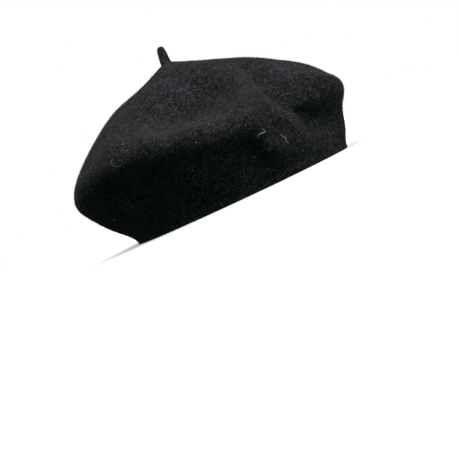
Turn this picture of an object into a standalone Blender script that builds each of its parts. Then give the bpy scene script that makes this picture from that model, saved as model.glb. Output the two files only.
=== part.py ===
"""A black wool felt beret with a short stalk, resting on its rim.

Metres, +Z up. The origin is the middle of the head opening, level with the rim's lower edge. The front
of the hat faces -Y. A bearing is the angle around the hat in degrees: 0 is the front, 90 the wearer's
left (+X), 180 the back and 270 the wearer's right (-X).
"""
import math
from collections import namedtuple

import bmesh
import bpy
from mathutils import Vector

# Driving dimensions
HEAD_LENGTH = 0.200        # head opening inside the felt, front to back
HEAD_WIDTH = 0.164         # head opening inside the felt, side to side
FELT_THICKNESS = 0.0025
RIM_BAND = 0.003           # upright felt just above the rim
CROWN_RADIUS = 0.122       # from the hat's middle out to the crown's edge
CROWN_HEIGHT = 0.123       # from the rim up to the foot of the stalk
CROWN_SHIFT = 0.0095       # how far the crown's top leans over to one side of the opening
CROWN_SHIFT_BEARING = 225
CROWN_PATCH = 0.014        # width of the level patch that the stalk stands on
STALK_LENGTH = 0.0152      # above the crown
STALK_WIDTH = 0.0080       # near its foot
STALK_LEAN = 4             # degrees from upright, near the foot
STALK_LEAN_BEARING = 30
STALK_ROOT_WIDTH = 0.0044  # where the stalk passes through the crown
HOLE_CUTTER_DEPTH = 0.015  # well through the felt
KNOT_WIDTH = 0.009         # the stalk's end, stitched flat inside the crown
KNOT_THICKNESS = 0.0018
CLEARANCE = 0.0003         # gap between touching pieces

# How finely the pieces are divided
COLUMNS = 80
CROWDED_BEARING = 335      # the columns stand closest here, where the folds are finest
CROWDING = 20              # the most degrees that a column is drawn towards it
RINGS = 30
SECTION_STEPS = 12         # between two points of a section
STALK_SIDES = 14
HOLE_SIDES = 16

# The crown's section at eight bearings. Below the edge, the flares say how far the felt has come out
# on its way from the rim to the edge. The edge is given as shares of CROWN_RADIUS and CROWN_HEIGHT.
# Above it, a reach is a share of the edge's own reach, and a rise is a share of the way up to the top.
Section = namedtuple(
    "Section",
    "bearing waist_flare under_flare edge_reach edge_height shoulder_reach shoulder_rise brow_reach brow_rise",
)
SECTIONS = (
    Section(0, 0.31, 0.62, 0.975, 0.36, 0.90, 0.27, 0.57, 0.67),
    Section(45, 0.35, 0.64, 0.91, 0.41, 0.88, 0.33, 0.60, 0.61),
    Section(90, 0.35, 0.68, 0.96, 0.42, 0.86, 0.34, 0.56, 0.63),
    Section(135, 0.33, 0.68, 1.00, 0.43, 0.87, 0.38, 0.58, 0.71),
    Section(180, 0.36, 0.73, 1.01, 0.43, 0.85, 0.39, 0.55, 0.75),
    Section(225, 0.41, 0.79, 1.02, 0.42, 0.83, 0.355, 0.50, 0.74),
    Section(270, 0.28, 0.66, 0.99, 0.52, 0.86, 0.27, 0.52, 0.64),
    Section(315, 0.30, 0.68, 0.97, 0.42, 0.91, 0.18, 0.52, 0.52),
)
WAIST_LEVEL = 0.33         # shares of the edge's height
UNDER_LEVEL = 0.64
PEAK_REACH = 0.22          # share of the edge's reach where the small tent under the stalk begins
PEAK_DROP = 0.065          # share of CROWN_HEIGHT that the tent rises

# Soft folds and dents, each a line of two or more points that share its name. A bearing over 360 carries
# the line on past the front. A station is a share of the way from the rim (0) to the top (1), measured
# along the felt. Widths are shares of CROWN_RADIUS. Depths are shares of CROWN_HEIGHT, below zero where
# the felt is pressed in.
FoldPoint = namedtuple("FoldPoint", "fold bearing station width depth")
FOLD_POINTS = (
    FoldPoint("crown_dish", 290, 0.62, 0.22, -0.090),
    FoldPoint("crown_dish", 308, 0.60, 0.21, -0.125),
    FoldPoint("crown_dish", 324, 0.56, 0.18, -0.115),
    FoldPoint("crown_dish", 333, 0.56, 0.14, -0.060),
    FoldPoint("shoulder_ridge", 268, 0.47, 0.08, 0.010),
    FoldPoint("shoulder_ridge", 288, 0.40, 0.09, 0.040),
    FoldPoint("shoulder_ridge", 304, 0.34, 0.08, 0.060),
    FoldPoint("shoulder_ridge", 317, 0.28, 0.08, 0.085),
    FoldPoint("shoulder_ridge", 328, 0.27, 0.08, 0.085),
    FoldPoint("shoulder_ridge", 335, 0.37, 0.07, 0.070),
    FoldPoint("shoulder_ridge", 341, 0.49, 0.07, 0.060),
    FoldPoint("shoulder_ridge", 348, 0.62, 0.08, 0.025),
    FoldPoint("side_hollow", 262, 0.22, 0.12, -0.030),
    FoldPoint("side_hollow", 290, 0.24, 0.11, -0.045),
    FoldPoint("front_crease", 368, 0.66, 0.08, -0.050),
    FoldPoint("front_crease", 357, 0.52, 0.08, -0.115),
    FoldPoint("front_crease", 350, 0.40, 0.08, -0.125),
    FoldPoint("front_crease", 349, 0.29, 0.09, -0.115),
    FoldPoint("front_crease", 353, 0.20, 0.09, -0.120),
    FoldPoint("front_crease", 361, 0.14, 0.09, -0.100),
    FoldPoint("front_crease", 372, 0.11, 0.09, -0.065),
    FoldPoint("front_tuck", 329, 0.29, 0.06, 0.030),
    FoldPoint("front_tuck", 330, 0.22, 0.06, 0.070),
    FoldPoint("front_tuck", 333, 0.15, 0.07, 0.100),
    FoldPoint("front_tuck", 339, 0.08, 0.08, 0.090),
    FoldPoint("front_lobe", 355, 0.43, 0.06, 0.010),
    FoldPoint("front_lobe", 362, 0.37, 0.07, 0.035),
    FoldPoint("front_lobe", 369, 0.29, 0.08, 0.085),
    FoldPoint("front_lobe", 379, 0.27, 0.08, 0.055),
    FoldPoint("front_lobe", 398, 0.27, 0.09, 0.020),
)
TOUCH_SPACING = 0.004      # how close together the touches along a fold are
FOLD_FADE_FOOT = 0.05      # shares of CROWN_HEIGHT: the folds fade out between these two levels
FOLD_FADE_TOP = 0.21

# The stalk from its foot to its tip: share of STALK_LENGTH, and width as a share of STALK_WIDTH
StalkRow = namedtuple("StalkRow", "rise width")
STALK_ROWS = (
    StalkRow(0.00, 1.12),
    StalkRow(0.10, 1.05),
    StalkRow(0.30, 0.99),
    StalkRow(0.55, 0.90),
    StalkRow(0.76, 0.81),
    StalkRow(0.88, 0.73),
    StalkRow(0.96, 0.54),
    StalkRow(1.00, 0.27),
)
KNOT_BEVEL_WIDTH = 0.8     # the knot's lower face, as a share of KNOT_WIDTH
KNOT_BEVEL_HEIGHT = 0.3    # share of KNOT_THICKNESS

FELT_COLOUR = (0.022, 0.022, 0.024, 1.0)
FELT_ROUGHNESS = 0.95


def bearing_direction(bearing):
    """Level unit vector at a bearing in degrees."""
    angle = math.radians(bearing)
    return Vector((math.sin(angle), -math.cos(angle), 0.0))


def rim_radius(bearing):
    """Radius of the rim's outer ellipse at a bearing."""
    half_length = HEAD_LENGTH / 2 + FELT_THICKNESS
    half_width = HEAD_WIDTH / 2 + FELT_THICKNESS
    angle = math.radians(bearing)
    return half_length * half_width / math.hypot(half_width * math.cos(angle), half_length * math.sin(angle))


def smooth_between(before, start, end, after, share):
    """Catmull-Rom curve from start to end, which also heeds the values on either side."""
    slope_start = (end - before) / 2
    slope_end = (after - start) / 2
    share_2 = share * share
    share_3 = share_2 * share
    return (
        start * (2 * share_3 - 3 * share_2 + 1)
        + slope_start * (share_3 - 2 * share_2 + share)
        + end * (3 * share_2 - 2 * share_3)
        + slope_end * (share_3 - share_2)
    )


def section_value(column, bearing):
    """A column of the section table, read smoothly at any bearing."""
    step = 360 / len(SECTIONS)
    place = (bearing % 360) / step
    first = int(place)
    values = [getattr(SECTIONS[(first + shift) % len(SECTIONS)], column) for shift in (-1, 0, 1, 2)]
    return smooth_between(*values, place - first)


def section_knots(bearing):
    """The (reach, height) points of the crown's section at a bearing, from the rim to the top patch."""
    rim = rim_radius(bearing)
    edge_reach = section_value("edge_reach", bearing) * CROWN_RADIUS
    edge_height = section_value("edge_height", bearing) * CROWN_HEIGHT
    flare = edge_reach - rim
    rise = CROWN_HEIGHT - edge_height
    return [
        Vector((rim, RIM_BAND)),
        Vector((rim + section_value("waist_flare", bearing) * flare, WAIST_LEVEL * edge_height)),
        Vector((rim + section_value("under_flare", bearing) * flare, UNDER_LEVEL * edge_height)),
        Vector((edge_reach, edge_height)),
        Vector((
            section_value("shoulder_reach", bearing) * edge_reach,
            edge_height + section_value("shoulder_rise", bearing) * rise,
        )),
        Vector((
            section_value("brow_reach", bearing) * edge_reach,
            edge_height + section_value("brow_rise", bearing) * rise,
        )),
        Vector((PEAK_REACH * edge_reach, (1 - PEAK_DROP) * CROWN_HEIGHT)),
        Vector((CROWN_PATCH / 2, CROWN_HEIGHT)),
    ]


def section_curve(bearing):
    """The section as a fine polyline, which starts upright above the rim."""
    knots = section_knots(bearing)
    below = Vector((knots[0].x, knots[0].y - (knots[1] - knots[0]).length))
    beyond = knots[-1] + (knots[-1] - knots[-2])
    padded = [below, *knots, beyond]
    curve = []
    for first in range(1, len(padded) - 2):
        for step in range(SECTION_STEPS):
            curve.append(smooth_between(*padded[first - 1:first + 3], step / SECTION_STEPS))
    curve.append(knots[-1])
    return curve


def along(curve, share):
    """The point at a share of a polyline's length."""
    lengths = [(end - start).length for start, end in zip(curve, curve[1:])]
    left = share * sum(lengths)
    for start, end, length in zip(curve, curve[1:], lengths):
        if left <= length:
            return start.lerp(end, left / length)
        left -= length
    return curve[-1]


def crown_point(bearing, reach, height):
    """A place in space from a bearing, a reach and a height, with the crown's lean."""
    lean = max(0.0, height / CROWN_HEIGHT) ** 2 * CROWN_SHIFT
    level = bearing_direction(bearing) * reach + bearing_direction(CROWN_SHIFT_BEARING) * lean
    return Vector((level.x, level.y, height))


def plain_point(bearing, station):
    """A point of the crown before it is folded."""
    place = along(section_curve(bearing), station)
    return crown_point(bearing, place.x, place.y)


def fold_touches():
    """The folds as rows of soft round touches, each a place in space, a width and a strength."""
    touches = []
    for start, end in zip(FOLD_POINTS, FOLD_POINTS[1:]):
        if start.fold != end.fold:
            continue
        run = plain_point(end.bearing, end.station) - plain_point(start.bearing, start.station)
        count = math.ceil(run.length / TOUCH_SPACING)
        for index in range(count):
            share = (index + 0.5) / count
            bearing, station, width, depth = (
                before + (after - before) * share for before, after in zip(start[1:], end[1:])
            )
            width *= CROWN_RADIUS
            strength = depth * CROWN_HEIGHT * run.length / count / (width * math.sqrt(math.pi))
            touches.append((plain_point(bearing, station), width, strength))
    return touches


def fold_push(point, touches):
    """How far all the folds together press a point. Close above the rim they fade out."""
    level = point.z / CROWN_HEIGHT
    fade = (level - FOLD_FADE_FOOT) / (FOLD_FADE_TOP - FOLD_FADE_FOOT)
    push = sum(
        strength * math.exp(-(point - place).length_squared / width ** 2)
        for place, width, strength in touches
    )
    return min(max(fade, 0.0), 1.0) * push


def column_bearings():
    """The bearings of the columns, closer together round CROWDED_BEARING."""
    even = [360 * column / COLUMNS for column in range(COLUMNS)]
    return [bearing - CROWDING * math.sin(math.radians(bearing - CROWDED_BEARING)) for bearing in even]


def crown_grid():
    """Rings of points from the rim to the top patch, folded."""
    bearings = column_bearings()
    curves = [section_curve(bearing) for bearing in bearings]
    rings = []
    for ring in range(RINGS + 1):
        places = [along(curve, ring / RINGS) for curve in curves]
        rings.append([
            crown_point(bearing, place.x, place.y)
            for bearing, place in zip(bearings, places)
        ])
    touches = fold_touches()
    folded = [rings[0]]
    for below, ring, above in zip(rings, rings[1:], rings[2:]):
        row = []
        for column, point in enumerate(ring):
            around = ring[(column + 1) % COLUMNS] - ring[column - 1]
            normal = around.cross(above[column] - below[column]).normalized()
            row.append(point + normal * fold_push(point, touches))
        folded.append(row)
    folded.append(rings[-1])
    return folded


def felt_material():
    """Matt black wool felt."""
    material = bpy.data.materials.new("black_felt")
    material.use_nodes = True
    surface = material.node_tree.nodes["Principled BSDF"]
    surface.inputs["Base Color"].default_value = FELT_COLOUR
    surface.inputs["Roughness"].default_value = FELT_ROUGHNESS
    surface.inputs["Metallic"].default_value = 0.0
    return material


def add_object(name, mesh_builder, material):
    """A smooth-shaded object from a filled bmesh."""
    mesh = bpy.data.meshes.new(name)
    mesh_builder.to_mesh(mesh)
    mesh_builder.free()
    mesh.shade_smooth()
    item = bpy.data.objects.new(name, mesh)
    bpy.context.collection.objects.link(item)
    if material:
        item.data.materials.append(material)
    return item


def ring_mesh(rings):
    """A bmesh surface through closed rings of points, each extruded from the one before."""
    builder = bmesh.new()
    column_of = builder.verts.layers.int.new("column")
    sides = len(rings[0])
    circle = bmesh.ops.create_circle(builder, segments=sides, radius=1)["verts"]
    for column, corner in enumerate(circle):
        corner[column_of] = column
        corner.co = rings[0][column]
    edges = list(builder.edges)
    for ring in rings[1:]:
        grown = bmesh.ops.extrude_edge_only(builder, edges=edges)["geom"]
        for corner in grown:
            if isinstance(corner, bmesh.types.BMVert):
                corner.co = ring[corner[column_of]]
        edges = [item for item in grown if isinstance(item, bmesh.types.BMEdge)]
    return builder, edges


def close_and_turn_out(builder, edges):
    """Closes a ring of edges with one face and turns every face outward."""
    bmesh.ops.contextual_create(builder, geom=edges)
    bmesh.ops.recalc_face_normals(builder, faces=builder.faces)


def make_hole_cutter():
    """The round hole at the top of the crown that the stalk passes through."""
    hole_radius = STALK_ROOT_WIDTH / 2 + CLEARANCE
    builder = bmesh.new()
    bmesh.ops.create_cone(
        builder,
        cap_ends=True,
        segments=HOLE_SIDES,
        radius1=hole_radius,
        radius2=hole_radius,
        depth=HOLE_CUTTER_DEPTH,
    )
    cutter = add_object("stalk_hole_cutter", builder, None)
    cutter.location = crown_top()
    cutter.hide_render = True
    cutter.display_type = "WIRE"
    return cutter


def crown_top():
    """The middle of the level patch that the stalk stands on."""
    return bearing_direction(CROWN_SHIFT_BEARING) * CROWN_SHIFT + Vector((0.0, 0.0, CROWN_HEIGHT))


def make_felt_body(material):
    """The one-piece felt shell: crown, rolled edge, underside and head opening."""
    rings = crown_grid()
    rim = [Vector((point.x, point.y, 0.0)) for point in rings[0]]
    builder, edges = ring_mesh([rim, *rings])
    close_and_turn_out(builder, edges)
    body = add_object("felt_body", builder, material)
    thickness = body.modifiers.new("felt_thickness", "SOLIDIFY")
    thickness.thickness = FELT_THICKNESS
    thickness.offset = -1
    hole = body.modifiers.new("stalk_hole", "BOOLEAN")
    hole.operation = "DIFFERENCE"
    hole.object = make_hole_cutter()
    return body


def stalk_centre(height):
    """The stalk's middle line at a height above its foot: upright below, leaning above."""
    lean = max(0.0, height) * math.tan(math.radians(STALK_LEAN))
    return crown_top() + bearing_direction(STALK_LEAN_BEARING) * lean + Vector((0.0, 0.0, height))


def make_stalk(material):
    """The felt stalk, whose root passes through the crown to a flat knot inside it."""
    foot = CLEARANCE
    knot_top = -FELT_THICKNESS - CLEARANCE
    knot_bottom = knot_top - KNOT_THICKNESS
    rows = [
        (knot_bottom, KNOT_BEVEL_WIDTH * KNOT_WIDTH),
        (knot_bottom + KNOT_BEVEL_HEIGHT * KNOT_THICKNESS, KNOT_WIDTH),
        (knot_top, KNOT_WIDTH),
        (knot_top, STALK_ROOT_WIDTH),
        (foot, STALK_ROOT_WIDTH),
    ]
    rows += [(foot + row.rise * STALK_LENGTH, row.width * STALK_WIDTH) for row in STALK_ROWS]
    rings = []
    for height, width in rows:
        centre = stalk_centre(height - foot)
        centre.z = crown_top().z + height
        rings.append([
            centre + bearing_direction(360 * side / STALK_SIDES) * width / 2
            for side in range(STALK_SIDES)
        ])
    builder, edges = ring_mesh(rings)
    first_edges = [edge for edge in builder.edges if edge.is_boundary and edge not in edges]
    bmesh.ops.contextual_create(builder, geom=first_edges)
    close_and_turn_out(builder, edges)
    return add_object("stalk", builder, material)


def main():
    """Clears the scene and builds the beret."""
    for item in list(bpy.data.objects):
        bpy.data.objects.remove(item)
    felt = felt_material()
    make_felt_body(felt)
    make_stalk(felt)


main()
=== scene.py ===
"""Looks for a black wool felt beret that rests on a pale floor.

Metres, +Z up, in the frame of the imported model: the front of the hat faces -Y and its rim stands on z = 0.
"""
import math

import bmesh
import bpy
import numpy as np
from mathutils import Matrix, Vector, noise
from mathutils.bvhtree import BVHTree

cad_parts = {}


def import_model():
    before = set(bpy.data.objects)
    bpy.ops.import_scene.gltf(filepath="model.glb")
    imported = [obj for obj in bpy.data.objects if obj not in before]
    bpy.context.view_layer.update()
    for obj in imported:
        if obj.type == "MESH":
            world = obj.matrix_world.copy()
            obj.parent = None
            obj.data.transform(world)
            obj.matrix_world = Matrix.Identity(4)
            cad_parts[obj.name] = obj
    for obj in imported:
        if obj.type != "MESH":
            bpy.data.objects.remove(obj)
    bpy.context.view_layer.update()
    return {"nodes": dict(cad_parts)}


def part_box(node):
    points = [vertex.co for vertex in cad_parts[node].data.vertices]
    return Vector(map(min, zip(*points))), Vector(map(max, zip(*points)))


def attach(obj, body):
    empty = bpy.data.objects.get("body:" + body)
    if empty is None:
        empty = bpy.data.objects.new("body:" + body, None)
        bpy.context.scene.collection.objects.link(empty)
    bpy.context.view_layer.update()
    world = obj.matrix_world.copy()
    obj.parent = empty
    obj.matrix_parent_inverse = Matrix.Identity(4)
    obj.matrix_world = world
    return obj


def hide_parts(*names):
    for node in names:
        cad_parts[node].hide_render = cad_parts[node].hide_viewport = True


# The photograph's view
PHOTO_PIXELS = 460
SENSOR_WIDTH_MM = 36.0
CAMERA_BEARING = -45         # degrees round the hat from its front
CAMERA_DISTANCE = 1.10
CAMERA_HEIGHT = 0.028
CAMERA_ROLL = 25.3           # degrees by which the hat leans to the left in the picture
METRES_PER_PIXEL = 0.00082   # at the middle of the hat
FOCAL_PIXELS = CAMERA_DISTANCE / METRES_PER_PIXEL
OPENING_PIXEL = (241.5, 196.5)   # where the middle of the head opening falls

# The studio
FLOOR_GLOW = 0.42            # the floor's own soft glow, which keeps it pale
FLOOR_HALF_WIDTH = 20.0
SUN_SPREAD = 40              # degrees, wide enough for soft shadows
SHADE_LIGHT = (0.98, 1.0, 0.88, 1.0)   # the dim light that reaches the shaded underside
SHADE_STRENGTH = 0.055

# Each light: how far to the left, up and near in the picture it shines from, its strength and its colour
SUNS = {
    "left_key": ((0.7, 0.8, 0.4), 1.34, (0.88, 1.0, 0.96)),
    "front_key": ((0.15, 0.95, 0.55), 1.24, (1.0, 0.74, 0.82)),
    "top": ((0.0, 1.0, 0.1), 0.70, (1.0, 0.84, 0.93)),
    "right_fill": ((-0.8, 0.3, 0.6), 2.35, (0.82, 1.0, 0.97)),
    "front_fill": ((0.3, 0.1, 0.9), 0.25, (0.1, 0.87, 1.0)),
    "back": ((0.0, 0.9, -0.8), 0.18, (1.0, 0.80, 0.92)),
}

# The felt
WELD_DISTANCE = 0.00001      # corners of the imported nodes' loose triangles that are one corner
PAIRING_ANGLE = 40           # the most degrees between two triangles that become one four-sided face
PAIRING_SKEW = 60            # the most degrees by which the new face's corners may be off square
SUBDIVISIONS = 2
RIM_CREASE = 0.75            # how sharp the cut edge of the felt stays
RIM_FADE = 0.008             # below this height the felt's unevenness dies away
NECK_RADIUS = 0.0070         # the patch of the crown that is drawn up into the stalk's foot
NECK_DEPTH = 0.004           # how far below the crown's top the patch is looked for
NECK_RINGS = ((0.0056, 0.0002), (0.0046, 0.0009), (0.0040, 0.0020), (0.0034, 0.0028))   # radius and rise
NECK_FLOOR_RADII = (0.005, 0.0025)   # rings that close the felt below the neck
LEVEL_TOLERANCE = 0.0001     # heights closer than this count as one level
STALK_FULLNESS = 0.0003      # how far the stalk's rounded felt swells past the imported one
HOLLOW_MIDDLE = (0.0, 0.0, 0.045)   # a point inside the hollow, which the outer face points away from
FIBRE_SINK = 0.0001          # how deep a fibre's root sits in the felt
FIBRE_CURL = 50              # degrees by which a fibre's outer half may bend up or down
FIBRE_SWAY = 60              # degrees by which it may turn aside
LUMPS = ((0.030, 0.0005), (0.011, 0.0003), (0.0045, 0.00012))   # size and depth of the felt's unevenness

# The nap's pattern: for each layer its features a metre, its detail, its distortion and its share
NAP_LAYERS = {
    "strands": (520.0, 3.0, 1.6, 0.36),
    "tufts": (760.0, 2.0, 0.0, 0.38),
    "clumps": (210.0, 3.0, 0.0, 0.18),
    "wear": (38.0, 2.0, 0.0, 0.08),
}
HUE_PATCHES = 150.0          # patches of hue a metre
NAP_DEPTH = 0.0012           # from the nap's depths to its tips

# Colours of the nap from its depths to its tips, and the drift of its hue; the dark depths are painted shade
# and the pale tips painted light over the fibres' own random tone
NAP_TONE_AND_SHADE_STOPS = (
    (0.400, (0.0018, 0.0019, 0.0020)),
    (0.460, (0.0066, 0.0066, 0.0068)),
    (0.505, (0.0170, 0.0168, 0.0175)),
    (0.550, (0.0340, 0.0330, 0.0350)),
    (0.615, (0.0780, 0.0755, 0.0800)),
)
FELT_HUES = ((0.36, (0.76, 1.08, 1.01)), (0.50, (1.0, 0.99, 1.02)), (0.64, (1.13, 0.94, 1.08)))
# The stalk's nap colours, from its depths to its tips: painted shade in the depths and painted light on the
# tips over the felt's own random tone.
STALK_TONE_AND_SHADE_STOPS = (
    (0.42, (0.0084, 0.0076, 0.0084)),
    (0.50, (0.0270, 0.0236, 0.0258)),
    (0.58, (0.0900, 0.0790, 0.0860)),
)
STALK_HUES = ((0.36, (0.98, 0.98, 1.00)), (0.64, (1.08, 0.97, 1.05)))

# Fibres that stand out of the felt: how many, their lengths, half their thickness, their lift in degrees
# and their material
FUZZ = {
    "felt_nap": (31000, (0.0009, 0.0020), 0.000045, (2, 28), "grey_fibres"),
    "felt_fuzz": (26000, (0.0011, 0.0026), 0.000035, (6, 42), "grey_fibres"),
    "pale_fuzz": (20000, (0.0009, 0.0026), 0.000052, (3, 34), "pale_fibres"),
}
STALK_FUZZ = (1200, (0.0006, 0.0012), 0.000045, (5, 45), "stalk_fibres")
FIBRE_TONES = {
    "grey_fibres": (0.034, 0.034, 0.036),
    "pale_fibres": (0.230, 0.224, 0.238),
    "stalk_fibres": (0.048, 0.042, 0.046),
}

# White lint that clings to the felt: thickness, then the pixels of the photograph that a strand runs through
LINT = (
    (0.00064, ((258.2, 134.9), (260.4, 133.8), (262.6, 132.6), (265.1, 131.8))),
    (0.00042, ((265.4, 131.9), (264.4, 130.5), (262.7, 129.2))),
    (0.00042, ((280.4, 134.2), (281.8, 136.8), (285.6, 137.4), (285.2, 140.4), (287.8, 143.2))),
    (0.00013, ((112.9, 158.2), (111.3, 161.5), (112.4, 165.0), (115.4, 167.2), (121.0, 165.6))),
    (0.00026, ((125.6, 151.6), (127.4, 150.9), (128.0, 149.6))),
    (0.00030, ((254.2, 157.2), (255.4, 156.7))),
    (0.00024, ((302.1, 150.4), (302.9, 149.7))),
    (0.00058, ((114.1, 219.8), (115.0, 219.0))),
    (0.00040, ((192.1, 170.8), (193.0, 170.2))),
    (0.00044, ((195.6, 142.3), (196.7, 142.1))),
    (0.00030, ((289.6, 120.8), (290.5, 120.1))),
    (0.00026, ((257.0, 137.6), (257.7, 137.0))),
)
LINT_RISE = 0.0003           # the middle of a strand above the felt

SEED = 7


class Shade:
    """A shader socket that takes part in sums, and makes further nodes in its own tree."""

    def __init__(self, tree, socket=None):
        self.tree = tree
        self.socket = socket

    def node(self, kind, settings=None, sockets=None, output=0):
        """Adds a node. Its settings are set first, then its sockets take values or links."""
        made = self.tree.nodes.new(kind)
        for name, value in (settings or {}).items():
            if name == "stops":
                set_stops(made.color_ramp, value)
            else:
                setattr(made, name, value)
        for name, value in (sockets or {}).items():
            if isinstance(value, Shade):
                self.tree.links.new(value.socket, made.inputs[name])
            else:
                made.inputs[name].default_value = value
        return Shade(self.tree, made.outputs[output])

    def maths(self, operation, first, second):
        """A Math node on two values."""
        return self.node("ShaderNodeMath", {"operation": operation}, {0: first, 1: second})

    def noise(self, place, scale, detail, distortion=0.0):
        """A noise pattern, with its scale in features a metre."""
        return self.node("ShaderNodeTexNoise", {}, {
            "Vector": place,
            "Scale": scale,
            "Detail": detail,
            "Roughness": 0.6,
            "Distortion": distortion,
        })

    def mix(self, blend, other):
        """This colour blended wholly with another one."""
        settings = {"data_type": "RGBA", "blend_type": blend}
        return self.node("ShaderNodeMix", settings, {0: 1.0, 6: self, 7: other}, output=2)

    def __add__(self, other):
        return self.maths("ADD", self, other)

    def __radd__(self, other):
        return self.maths("ADD", other, self)

    def __mul__(self, other):
        return self.maths("MULTIPLY", self, other)

    def __rmul__(self, other):
        return self.maths("MULTIPLY", other, self)


def set_stops(ramp, stops):
    """Gives a colour ramp its stops, each a position and a colour."""
    while len(ramp.elements) > 1:
        ramp.elements.remove(ramp.elements[-1])
    for index, (position, colour) in enumerate(stops):
        stop = ramp.elements[0] if index == 0 else ramp.elements.new(position)
        stop.position = position
        stop.color = (*colour, 1.0)


def new_material(name):
    """A material with its Principled shader and a Shade to build its nodes with."""
    material = bpy.data.materials.new(name)
    material.use_nodes = True
    surface = material.node_tree.nodes["Principled BSDF"]
    return material, surface, Shade(material.node_tree)


def feed(shade, surface, socket):
    """Links a shade to a socket of the surface."""
    shade.tree.links.new(shade.socket, surface.inputs[socket])


def set_constants(surface, values):
    """Sets what is the same all over a surface."""
    for name, value in values.items():
        surface.inputs[name].default_value = value


def felt_material(name, stops, hues):
    """Black wool felt: a salt-and-pepper nap of greyish fibre tips over greenish black depths, its colour
    the fibres' own random tone with painted shade in the depths and painted light on the tips.
    """
    material, surface, shade = new_material(name)
    place = shade.node("ShaderNodeTexCoord", output=3)
    layers = [
        shade.noise(place, scale, detail, distortion) * share
        for scale, detail, distortion, share in NAP_LAYERS.values()
    ]
    nap = layers[0]
    for layer in layers[1:]:
        nap = nap + layer
    # The nap's height, which also drives the bump, picks the colour: painted shade where it is low, painted
    # light where it is high, over the fibres' own random tone.
    grey = shade.node("ShaderNodeValToRGB", {"stops": stops}, {"Fac": nap})
    patches = shade.noise(place, HUE_PATCHES, 3.0)
    hue = shade.node("ShaderNodeValToRGB", {"stops": hues}, {"Fac": patches})
    feed(grey.mix("MULTIPLY", hue), surface, "Base Color")
    relief = shade.node("ShaderNodeBump", {}, {"Strength": 0.9, "Distance": NAP_DEPTH, "Height": nap})
    feed(relief, surface, "Normal")
    set_constants(surface, {
        "Roughness": 0.95,
        "Specular IOR Level": 0.10,
        "Sheen Weight": 0.05,
        "Sheen Roughness": 0.5,
        "Sheen Tint": (0.80, 0.80, 0.88, 1.0),
    })
    return material


def fibre_material(name, tone):
    """Single wool fibres, each too thin to show a pattern of its own."""
    material, surface, _ = new_material(name)
    set_constants(surface, {"Base Color": (*tone, 1.0), "Roughness": 0.7, "Specular IOR Level": 0.3})
    return material


def lint_material():
    """White cotton lint, a little uneven along its strands."""
    material, surface, shade = new_material("white_lint")
    place = shade.node("ShaderNodeTexCoord", output=3)
    stops = ((0.35, (0.31, 0.30, 0.33)), (0.65, (0.70, 0.68, 0.73)))
    colour = shade.node("ShaderNodeValToRGB", {"stops": stops}, {"Fac": shade.noise(place, 900.0, 2.0)})
    feed(colour, surface, "Base Color")
    set_constants(surface, {"Roughness": 0.9, "Specular IOR Level": 0.2})
    return material


def floor_material():
    """A matt pale studio floor."""
    material, surface, shade = new_material("pale_floor")
    place = shade.node("ShaderNodeTexCoord", output=3)
    mottle = shade.noise(place, 3.0, 2.0)
    colour = shade.node(
        "ShaderNodeValToRGB",
        {"stops": ((0.0, (0.93, 0.93, 0.93)), (1.0, (0.96, 0.96, 0.96)))},
        {"Fac": mottle},
    )
    feed(colour, surface, "Base Color")
    set_constants(surface, {
        "Roughness": 1.0,
        "Specular IOR Level": 0.0,
        "Emission Color": (1.0, 1.0, 1.0, 1.0),
        "Emission Strength": FLOOR_GLOW,
    })
    return material


def merged_copy(node):
    """A bmesh copy of a CAD node with its loose triangles merged and paired."""
    builder = bmesh.new()
    builder.from_mesh(node.data)
    bmesh.ops.remove_doubles(builder, verts=builder.verts, dist=WELD_DISTANCE)
    bmesh.ops.join_triangles(
        builder,
        faces=builder.faces,
        angle_face_threshold=math.radians(PAIRING_ANGLE),
        angle_shape_threshold=math.radians(PAIRING_SKEW),
    )
    return builder


def add_piece(name, builder, material):
    """A smooth-shaded object from a bmesh."""
    mesh = bpy.data.meshes.new(name)
    builder.to_mesh(mesh)
    builder.free()
    mesh.shade_smooth()
    mesh.materials.append(material)
    piece = bpy.data.objects.new(name, mesh)
    bpy.context.collection.objects.link(piece)
    return piece


def apply_subdivision(piece):
    """Subdivides a piece and keeps the result as its mesh."""
    modifier = piece.modifiers.new("smooth", "SUBSURF")
    modifier.levels = SUBDIVISIONS
    modifier.render_levels = SUBDIVISIONS
    finished = bpy.data.meshes.new_from_object(
        piece.evaluated_get(bpy.context.evaluated_depsgraph_get())
    )
    piece.modifiers.clear()
    piece.data = finished
    finished.shade_smooth()


def boundary_loops(builder):
    """The open edges of a bmesh, as one list for each loop, the highest first."""
    left = dict.fromkeys(edge for edge in builder.edges if edge.is_boundary)
    loops = []
    while left:
        loop = [next(iter(left))]
        del left[loop[0]]
        ends = list(loop[0].verts)
        while ends:
            for edge in ends.pop().link_edges:
                if edge in left:
                    del left[edge]
                    loop.append(edge)
                    ends.extend(edge.verts)
        loops.append(loop)
    return sorted(loops, key=lambda loop: -max(edge.verts[0].co.z for edge in loop))


def ring_inward(builder, edges, centre, radius, height):
    """Extrudes a closed loop of edges to a smaller level ring round a centre."""
    grown = bmesh.ops.extrude_edge_only(builder, edges=edges)["geom"]
    for corner in (item for item in grown if isinstance(item, bmesh.types.BMVert)):
        arm = Vector((corner.co.x - centre.x, corner.co.y - centre.y))
        arm = arm.normalized() * radius
        corner.co = Vector((centre.x + arm.x, centre.y + arm.y, height))
    return [item for item in grown if isinstance(item, bmesh.types.BMEdge)]


def corner_numbers(item):
    """The numbers of an edge's or a face's corners, lowest first."""
    return sorted(corner.index for corner in item.verts)


def settle_order(builder):
    """Puts edges and faces in the order of their corners.

    An extrusion leaves them in a different order each run, and the fibres' places depend on it.
    """
    builder.verts.index_update()
    for items in (builder.edges, builder.faces):
        for number, item in enumerate(sorted(items, key=corner_numbers)):
            item.index = number
        items.sort()


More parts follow.
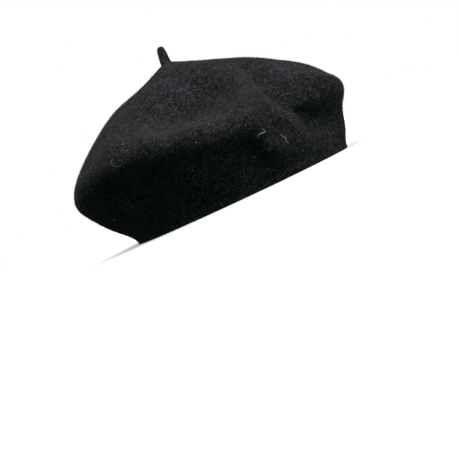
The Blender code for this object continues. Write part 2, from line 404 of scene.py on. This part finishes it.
def draw_up_neck(builder, centre, top):
    """Opens the flat patch at the crown's top and draws its felt up into the foot of the stalk."""
    patch = [
        face for face in builder.faces
        if (face.calc_center_median().xy - centre.xy).length < NECK_RADIUS
        and face.calc_center_median().z > top - NECK_DEPTH
    ]
    bmesh.ops.delete(builder, geom=patch, context="FACES")
    outer, inner = boundary_loops(builder)[:2]
    for radius, rise in NECK_RINGS:
        outer = ring_inward(builder, outer, centre, radius, top + rise)
    bmesh.ops.contextual_create(builder, geom=outer)
    floor_of_neck = min(edge.verts[0].co.z for edge in inner)
    for radius in NECK_FLOOR_RADII:
        inner = ring_inward(builder, inner, centre, radius, floor_of_neck)
    bmesh.ops.contextual_create(builder, geom=inner)
    bmesh.ops.recalc_face_normals(builder, faces=builder.faces)
    settle_order(builder)


def crease_rim(builder):
    """Keeps the cut edge of the felt square at the rim."""
    crease = builder.edges.layers.float.new("crease_edge")
    for edge in builder.edges:
        if all(corner.co.z < LEVEL_TOLERANCE for corner in edge.verts):
            edge[crease] = RIM_CREASE


def roughen(piece):
    """Gives a felt surface its slight natural unevenness, which fades out at the rim."""
    mesh = piece.data
    moved = []
    for corner in mesh.vertices:
        push = 0.0
        for size, depth in LUMPS:
            push += depth * noise.noise(corner.co / size)
        fade = min(1.0, max(0.0, corner.co.z / RIM_FADE))
        moved.append(corner.co + corner.normal * push * fade)
    for corner, place in zip(mesh.vertices, moved):
        corner.co = place
    mesh.update()


def make_shell(nodes, material):
    """The felt body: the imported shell, smoothed, with its cut rim and its neck at the stalk."""
    builder = merged_copy(nodes["felt_body"])
    crease_rim(builder)
    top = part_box("felt_body")[1].z
    roots = [
        corner.co for corner in builder.verts
        if corner.co.z > top - LEVEL_TOLERANCE
    ]
    centre = sum(roots, Vector()) / len(roots)
    draw_up_neck(builder, centre, top)
    shell = add_piece("felt_shell", builder, material)
    apply_subdivision(shell)
    roughen(shell)
    return shell


def make_stalk(nodes, material):
    """The felt stalk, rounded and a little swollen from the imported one."""
    builder = merged_copy(nodes["stalk"])
    builder.normal_update()
    for corner in builder.verts:
        corner.co += corner.normal * STALK_FULLNESS
    stalk = add_piece("felt_stalk", builder, material)
    apply_subdivision(stalk)
    return stalk


def surface_samples(mesh, count, chooser, inside, lowest):
    """Random roots and normals, spread evenly over the faces that turn away from a point inside.

    Faces below the lowest level get none.
    """
    mesh.calc_loop_triangles()
    corners = np.empty(len(mesh.vertices) * 3)
    mesh.vertices.foreach_get("co", corners)
    indices = np.empty(len(mesh.loop_triangles) * 3, dtype=np.int64)
    mesh.loop_triangles.foreach_get("vertices", indices)
    triangles = corners.reshape(-1, 3)[indices.reshape(-1, 3)]
    across = np.cross(triangles[:, 1] - triangles[:, 0], triangles[:, 2] - triangles[:, 0])
    size = np.linalg.norm(across, axis=1)
    middles = triangles.mean(axis=1)
    outward = ((middles - inside) * across).sum(axis=1) > 0
    weight = size * outward * (middles[:, 2] > lowest)
    picked = chooser.choice(len(triangles), size=count, p=weight / weight.sum())
    first = np.sqrt(chooser.random(count))[:, None]
    second = chooser.random(count)[:, None]
    chosen = triangles[picked]
    roots = chosen[:, 0] * (1 - first) + chosen[:, 1] * first * (1 - second) + chosen[:, 2] * first * second
    return roots, unit(across[picked])


def unit(vectors):
    """Vectors of length one."""
    return vectors / np.linalg.norm(vectors, axis=1)[:, None]


def fibre_corners(roots, normals, lengths, radius, lifts, chooser):
    """Bent spindles: for each fibre its root, three corners round its middle and its tip."""
    count = len(roots)
    loose = unit(chooser.normal(size=(count, 3)))
    along = unit(loose - normals * (loose * normals).sum(axis=1)[:, None])
    side = np.cross(normals, along)
    length = chooser.uniform(*lengths, size=count)[:, None]
    lift = np.radians(chooser.uniform(*lifts, size=count))[:, None]
    curl = np.radians(chooser.uniform(-FIBRE_CURL, FIBRE_CURL, size=count))[:, None]
    sway = np.radians(chooser.uniform(-FIBRE_SWAY, FIBRE_SWAY, size=count))[:, None]
    turned = along * np.cos(sway) + side * np.sin(sway)
    start = roots - normals * FIBRE_SINK
    middle = start + (along * np.cos(lift) + normals * np.sin(lift)) * length * 0.5
    tip = middle + (turned * np.cos(lift + curl) + normals * np.sin(lift + curl)) * length * 0.5
    axis = unit(tip - start)
    first = unit(np.cross(axis, normals))
    second = np.cross(axis, first)
    ring = [
        middle + (first * math.cos(turn) + second * math.sin(turn)) * radius
        for turn in (0.0, math.tau / 3, math.tau * 2 / 3)
    ]
    return np.stack([start, *ring, tip], axis=1)


def make_fibres(name, row, felt, chooser, materials, inside, lowest):
    """Fibres rooted all over a felt piece, joined into one mesh.

    Those that would reach the floor are left out.
    """
    count, lengths, radius, lifts, tone = row
    roots, normals = surface_samples(felt.data, count, chooser, inside, lowest)
    fibres = fibre_corners(roots, normals, lengths, radius, lifts, chooser)
    fibres = fibres[fibres[:, :, 2].min(axis=1) > 0]
    pattern = np.array([(1, 2, 4), (2, 3, 4), (3, 1, 4), (2, 1, 0), (3, 2, 0), (1, 3, 0)])
    faces = (np.arange(len(fibres))[:, None, None] * fibres.shape[1] + pattern[None]).reshape(-1, 3)
    mesh = bpy.data.meshes.new(name)
    mesh.from_pydata(fibres.reshape(-1, 3).tolist(), [], faces.tolist())
    mesh.shade_smooth()
    mesh.materials.append(materials[tone])
    piece = bpy.data.objects.new(name, mesh)
    bpy.context.collection.objects.link(piece)
    return piece


def make_lint(shell, view, material):
    """Strands of lint laid on the felt where the photograph shows them."""
    builder = bmesh.new()
    builder.from_mesh(shell.data)
    felt = BVHTree.FromBMesh(builder)
    builder.free()
    camera = bpy.context.scene.camera.matrix_world.translation
    curve = bpy.data.curves.new("lint", "CURVE")
    curve.dimensions = "3D"
    curve.bevel_depth = 1.0
    curve.bevel_resolution = 1
    curve.use_fill_caps = True
    for thickness, pixels in LINT:
        strand = curve.splines.new("NURBS")
        strand.points.add(len(pixels) - 1)
        for point, pixel in zip(strand.points, pixels):
            place, normal, _, _ = felt.ray_cast(camera, view @ pixel_ray(pixel))
            point.co = (*(place + normal * LINT_RISE), 1.0)
            point.radius = thickness / 2
        strand.order_u = min(3, len(pixels))
        strand.use_endpoint_u = True
    guide = bpy.data.objects.new("lint_route", curve)
    bpy.context.collection.objects.link(guide)
    mesh = bpy.data.meshes.new_from_object(guide.evaluated_get(bpy.context.evaluated_depsgraph_get()))
    bpy.data.objects.remove(guide)
    mesh.materials.clear()
    mesh.materials.append(material)
    mesh.shade_smooth()
    piece = bpy.data.objects.new("lint", mesh)
    bpy.context.collection.objects.link(piece)
    return piece


def add_sun(name, direction, strength, colour):
    """A soft distant light that shines from a direction."""
    light = bpy.data.lights.new(name, "SUN")
    light.energy = strength
    light.angle = math.radians(SUN_SPREAD)
    light.color = colour
    sun = bpy.data.objects.new(name, light)
    sun.rotation_euler = direction.to_track_quat("Z", "Y").to_euler()
    bpy.context.collection.objects.link(sun)


def pixel_ray(pixel):
    """The direction of a pixel of the photograph, in the camera's axes."""
    middle = PHOTO_PIXELS / 2
    return Vector((pixel[0] - middle, middle - pixel[1], -FOCAL_PIXELS)).normalized()


def make_camera():
    """The camera, aimed and rolled so that the head opening falls on its pixel. Returns its axes."""
    bearing = math.radians(CAMERA_BEARING)
    back = Vector((math.sin(bearing), -math.cos(bearing), 0.0))
    place = back * CAMERA_DISTANCE + Vector((0.0, 0.0, CAMERA_HEIGHT))
    forward = -place.normalized()
    right = forward.cross(Vector((0.0, 0.0, 1.0))).normalized()
    upright = Matrix((right, right.cross(forward), -forward)).transposed()
    rolled = upright @ Matrix.Rotation(-math.radians(CAMERA_ROLL), 3, "Z")
    aimed = rolled @ pixel_ray(OPENING_PIXEL).rotation_difference(Vector((0.0, 0.0, -1.0))).to_matrix()
    data = bpy.data.cameras.new("photo_view")
    data.sensor_width = SENSOR_WIDTH_MM
    data.lens = FOCAL_PIXELS / PHOTO_PIXELS * SENSOR_WIDTH_MM
    camera = bpy.data.objects.new("photo_view", data)
    camera.matrix_world = Matrix.Translation(place) @ aimed.to_4x4()
    bpy.context.collection.objects.link(camera)
    bpy.context.scene.camera = camera
    return aimed


def make_world():
    """White to the eye, but a dim greenish light for the felt's shaded underside."""
    world = bpy.data.worlds.new("studio")
    bpy.context.scene.world = world
    world.use_nodes = True
    nodes = world.node_tree.nodes
    nodes.clear()
    shade = Shade(world.node_tree)
    ray = shade.node("ShaderNodeLightPath", output=0)
    backdrop = shade.node("ShaderNodeBackground", {}, {"Color": (1.0, 1.0, 1.0, 1.0), "Strength": 1.0})
    dim = shade.node("ShaderNodeBackground", {}, {"Color": SHADE_LIGHT, "Strength": SHADE_STRENGTH})
    both = shade.node("ShaderNodeMixShader", {}, {0: ray, 1: dim, 2: backdrop})
    output = nodes.new("ShaderNodeOutputWorld")
    world.node_tree.links.new(both.socket, output.inputs["Surface"])


def make_floor():
    """A pale floor that throws no light back up at the felt."""
    builder = bmesh.new()
    bmesh.ops.create_grid(builder, x_segments=1, y_segments=1, size=FLOOR_HALF_WIDTH)
    floor = add_piece("floor", builder, floor_material())
    floor.visible_diffuse = False
    floor.visible_glossy = False


def light_the_studio(view):
    """Soft light from the left, from above and from the right of the picture, and a little from behind."""
    axes = (-view.col[0], view.col[1], view.col[2])
    for name, (shares, strength, colour) in SUNS.items():
        direction = sum((axis * share for axis, share in zip(axes, shares)), Vector())
        add_sun(name, direction, strength, colour)


def main():
    """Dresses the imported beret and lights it."""
    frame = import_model()
    chooser = np.random.default_rng(SEED)
    shell = make_shell(frame["nodes"], felt_material("black_wool_felt", NAP_TONE_AND_SHADE_STOPS, FELT_HUES))
    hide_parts("felt_body")
    stalk = make_stalk(frame["nodes"], felt_material("rolled_black_felt", STALK_TONE_AND_SHADE_STOPS, STALK_HUES))
    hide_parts("stalk")
    view = make_camera()
    lint = make_lint(shell, view, lint_material())
    tones = {name: fibre_material(name, tone) for name, tone in FIBRE_TONES.items()}
    fuzz = [
        make_fibres(name, row, shell, chooser, tones, inside=HOLLOW_MIDDLE, lowest=0.0)
        for name, row in FUZZ.items()
    ]
    crown_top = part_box("felt_body")[1].z
    stalk_middle = (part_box("stalk")[0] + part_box("stalk")[1]) / 2
    stalk_fuzz = make_fibres(
        "stalk_fuzz", STALK_FUZZ, stalk, chooser, tones, inside=stalk_middle, lowest=crown_top
    )
    for piece in (shell, lint, *fuzz):
        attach(piece, "root")
    for piece in (stalk, stalk_fuzz):
        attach(piece, "root")
    make_world()
    make_floor()
    light_the_studio(view)
    bpy.context.scene.view_settings.view_transform = "Standard"


main()
